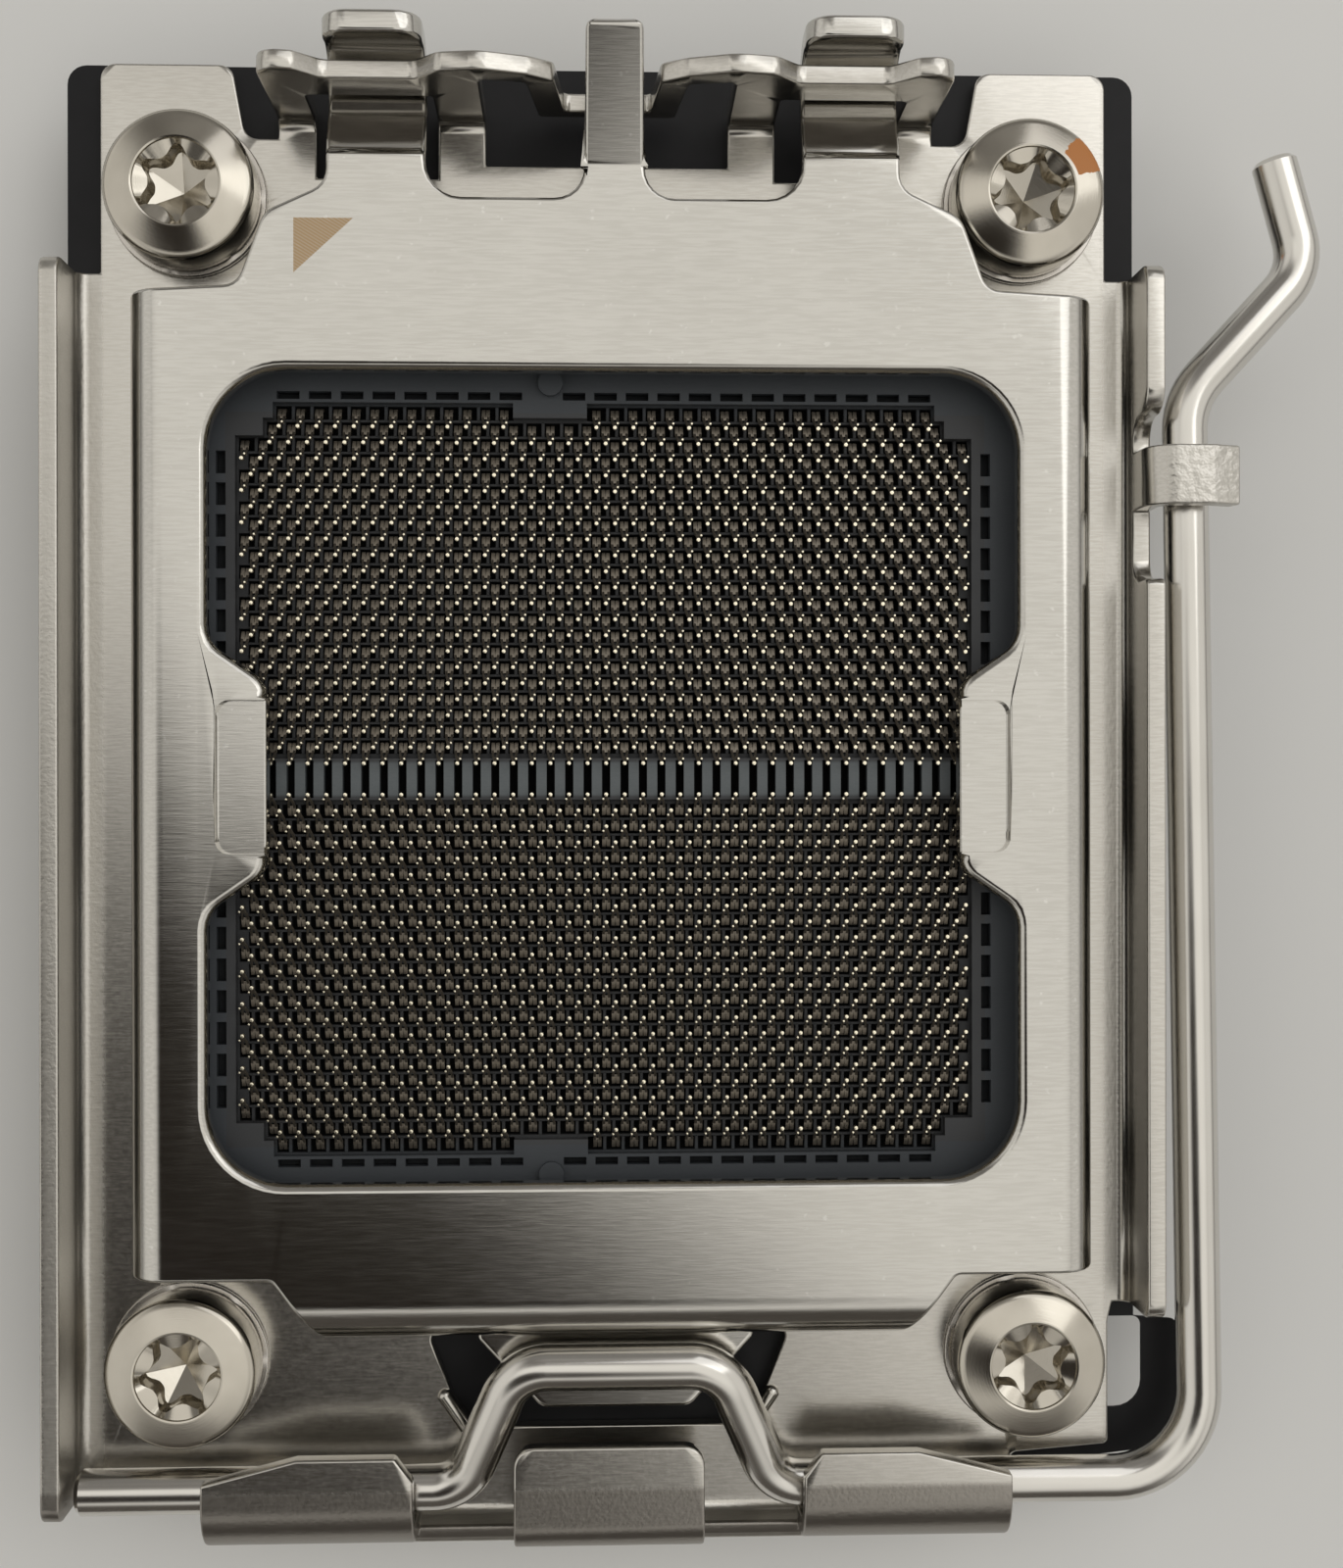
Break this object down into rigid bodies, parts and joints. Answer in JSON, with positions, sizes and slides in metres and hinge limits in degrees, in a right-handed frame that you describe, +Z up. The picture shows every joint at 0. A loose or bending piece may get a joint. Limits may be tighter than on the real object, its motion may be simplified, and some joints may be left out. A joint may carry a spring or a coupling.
{
  "type": "processor socket",
  "caption": "Land-grid processor socket with stamped stiffener frame, hinged load plate with a square window, cranked wire load lever, contact housing and spring contacts.",
  "frame": {"origin": "centre of the four fixing screws, on the board face", "axes": "+Z up from the board, +Y towards the load plate's hinge, +X towards the lever arm"},
  "size_m": [0.0648, 0.0763, 0.0138],
  "materials": {
    "frame_steel": "stamped stainless sheet, satin",
    "black_film": "thin black film, slight sheen",
    "plate_steel": "stainless sheet with fine straight grain",
    "lever_wire": "bright drawn wire",
    "screw_steel": "plated steel, bright",
    "washer_steel": "plated steel",
    "housing_plastic": "moulded dark blue-grey plastic",
    "contact_gold": "gold-plated spring alloy"
  },
  "bodies": {
    "base": {"stiffener_frame": "frame_steel", "insulating_film": "black_film", "clamp_screws": "screw_steel", "screw_washers": "washer_steel", "contact_housing": "housing_plastic", "contacts_rear_1": "contact_gold", "contacts_rear_2": "contact_gold", "contacts_rear_3": "contact_gold", "contacts_rear_4": "contact_gold", "contacts_rear_5": "contact_gold", "contacts_rear_6": "contact_gold", "contacts_rear_7": "contact_gold", "contacts_rear_8": "contact_gold", "contacts_rear_9": "contact_gold", "contacts_rear_10": "contact_gold", "contacts_rear_11": "contact_gold", "contacts_front_1": "contact_gold", "contacts_front_2": "contact_gold", "contacts_front_3": "contact_gold", "contacts_front_4": "contact_gold", "contacts_front_5": "contact_gold", "contacts_front_6": "contact_gold", "contacts_front_7": "contact_gold", "contacts_front_8": "contact_gold", "contacts_front_9": "contact_gold", "contacts_front_10": "contact_gold", "contacts_front_11": "contact_gold"},
    "load_plate": {"load_plate": "plate_steel"},
    "load_lever": {"load_lever": "lever_wire"}
  },
  "joints": [
    {"name": "plate_hinge", "type": "hinge", "parent": "base", "child": "load_plate", "pos_m": [0, 0.0344, 0.0061], "axis": [-1, 0, 0], "range_deg": [0, 105]},
    {"name": "lever_hinge", "type": "hinge", "parent": "base", "child": "load_lever", "pos_m": [0, -0.036, 0.00275], "axis": [1, 0, 0], "range_deg": [0, 135]}
  ]
}
